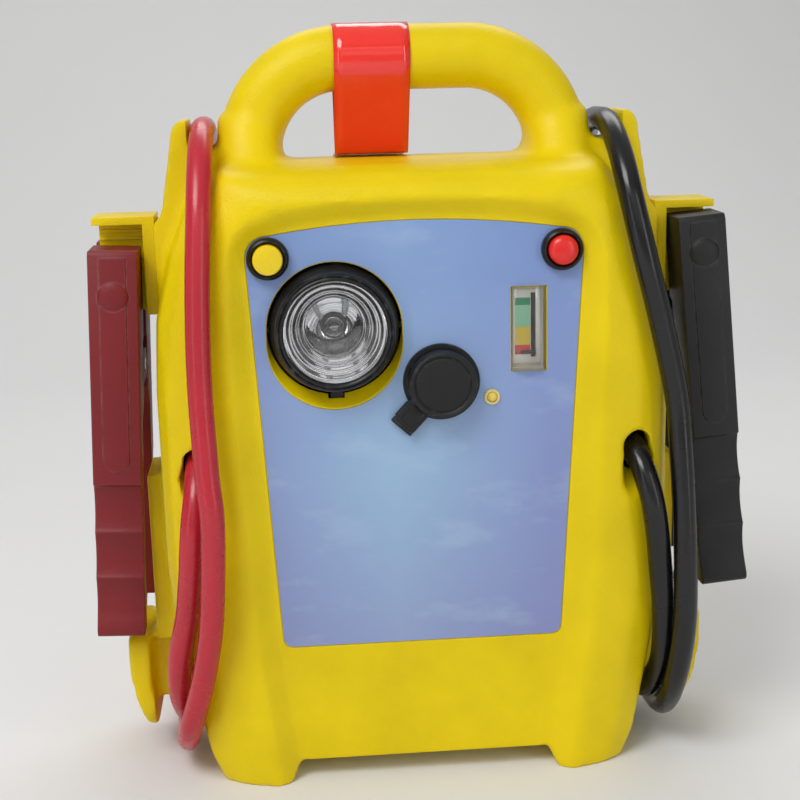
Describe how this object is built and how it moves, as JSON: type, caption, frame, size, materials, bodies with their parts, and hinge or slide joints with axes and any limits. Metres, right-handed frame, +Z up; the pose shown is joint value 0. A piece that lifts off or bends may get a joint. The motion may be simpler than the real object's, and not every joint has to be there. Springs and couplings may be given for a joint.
{
  "type": "jump starter pack",
  "caption": "Upright carrying case with an arched grip, a tilting lamp, a meter, a capped 12 V outlet and wrapped jump cables whose clamps hang on side brackets.",
  "frame": {"origin": "middle of the base, on the surface that the feet stand on, at the seam of the two shells", "axes": "+Z up, front with the label towards -Y, +X to the right seen from the front"},
  "size_m": [0.3255, 0.1415, 0.3658],
  "materials": {
    "yellow_plastic": "satin, finely grained moulding",
    "charcoal_plastic": "satin",
    "black_rubber": "matte",
    "red_plastic": "dull, finely grained moulding",
    "red_sheath": "semi-gloss",
    "black_sheath": "semi-gloss",
    "steel": "zinc plated",
    "copper_jaw": "copper plated",
    "brass_contact": "bright",
    "chrome_reflector": "mirror bright",
    "clear_lens": "clear",
    "label_film": "glossy film, violet to pale blue",
    "tag_film": "bright glossy film",
    "yellow_button": "gloss",
    "red_button": "gloss",
    "ivory_plastic": "satin",
    "card": "printed bands of colour",
    "needle_paint": "painted",
    "ceramic": "matte",
    "battery_shell": "satin",
    "lead_plates": "dull grey lead",
    "foam": "open foam",
    "board": "green laminate",
    "led_plastic": "tinted clear"
  },
  "bodies": {
    "case": {"front_shell": "yellow_plastic", "rear_shell": "yellow_plastic", "shell_screws": "steel", "front_label": "label_film", "handle_tag": "tag_film", "left_bracket": "yellow_plastic", "right_bracket": "yellow_plastic", "bracket_screws": "steel", "lamp_cradle": "charcoal_plastic", "light_switch_bezel": "charcoal_plastic", "light_switch_body": "charcoal_plastic", "status_switch_bezel": "charcoal_plastic", "status_switch_body": "charcoal_plastic", "gauge_case": "ivory_plastic", "gauge_card": "card", "gauge_window": "clear_lens", "led_bezel": "ivory_plastic", "led_lens": "led_plastic", "outlet_barrel": "charcoal_plastic", "outlet_base": "charcoal_plastic", "outlet_contact": "brass_contact", "outlet_nut": "charcoal_plastic", "cap_ring": "black_rubber", "battery_case": "battery_shell", "battery_plates": "lead_plates", "battery_terminals": "brass_contact", "battery_foam": "foam", "circuit_board": "board", "board_parts": "ivory_plastic", "charge_jack": "charcoal_plastic", "fuse_block": "charcoal_plastic", "red_cable_anchor": "charcoal_plastic", "black_cable_anchor": "charcoal_plastic", "red_inner_lead": "red_sheath", "black_inner_lead": "black_sheath", "red_cable": "red_sheath", "black_cable": "black_sheath", "red_rear_grip": "red_plastic", "red_rear_jaw": "copper_jaw", "red_pivot_pin": "steel", "red_spring": "steel", "black_rear_grip": "charcoal_plastic", "black_rear_jaw": "copper_jaw", "black_pivot_pin": "steel", "black_spring": "steel"},
    "lamp": {"lamp_housing": "charcoal_plastic", "lamp_reflector": "chrome_reflector", "lamp_lens": "clear_lens", "lamp_bulb": "clear_lens", "bulb_holder": "ceramic"},
    "light_button": {"light_switch_button": "yellow_button"},
    "status_button": {"status_switch_button": "red_button"},
    "meter_needle": {"gauge_needle": "needle_paint"},
    "cap": {"outlet_cap": "black_rubber"},
    "red_clamp_front": {"red_front_grip": "red_plastic", "red_front_jaw": "copper_jaw"},
    "black_clamp_front": {"black_front_grip": "charcoal_plastic", "black_front_jaw": "copper_jaw"}
  },
  "joints": [
    {"name": "lamp_tilt", "type": "hinge", "parent": "case", "child": "lamp", "pos_m": [-0.0385, -0.042, 0.227], "axis": [1, 0, 0], "range_deg": [-18, 18]},
    {"name": "light_switch_press", "type": "slide", "parent": "case", "child": "light_button", "axis": [0, 1, 0], "range_m": [0, 0.002], "stiffness_N_per_m": 900, "springref_m": -0.001},
    {"name": "status_switch_press", "type": "slide", "parent": "case", "child": "status_button", "axis": [0, 1, 0], "range_m": [0, 0.002], "stiffness_N_per_m": 900, "springref_m": -0.001},
    {"name": "gauge_needle_swing", "type": "hinge", "parent": "case", "child": "meter_needle", "pos_m": [0.0525, -0.008, 0.224], "axis": [-1, 0, 0], "range_deg": [0, 43], "stiffness_Nm_per_rad": 0.002, "springref_deg": -5.73},
    {"name": "outlet_cap_open", "type": "hinge", "parent": "case", "child": "cap", "pos_m": [-0.00816, -0.0519, 0.18017], "axis": [0.7314, 0, -0.682], "range_deg": [0, 150], "stiffness_Nm_per_rad": 0.03, "springref_deg": -11.46},
    {"name": "red_clamp_squeeze", "type": "hinge", "parent": "case", "child": "red_clamp_front", "pos_m": [-0.1425, 0, 0.205], "axis": [0.9992, 0, -0.0401], "range_deg": [0, 20], "stiffness_Nm_per_rad": 4, "springref_deg": -20.05, "deforming": ["red_spring"]},
    {"name": "black_clamp_squeeze", "type": "hinge", "parent": "case", "child": "black_clamp_front", "pos_m": [0.1442, 0, 0.2165], "axis": [0.9966, 0, 0.0819], "range_deg": [0, 20], "stiffness_Nm_per_rad": 4, "springref_deg": -20.05, "deforming": ["black_spring"]}
  ]
}
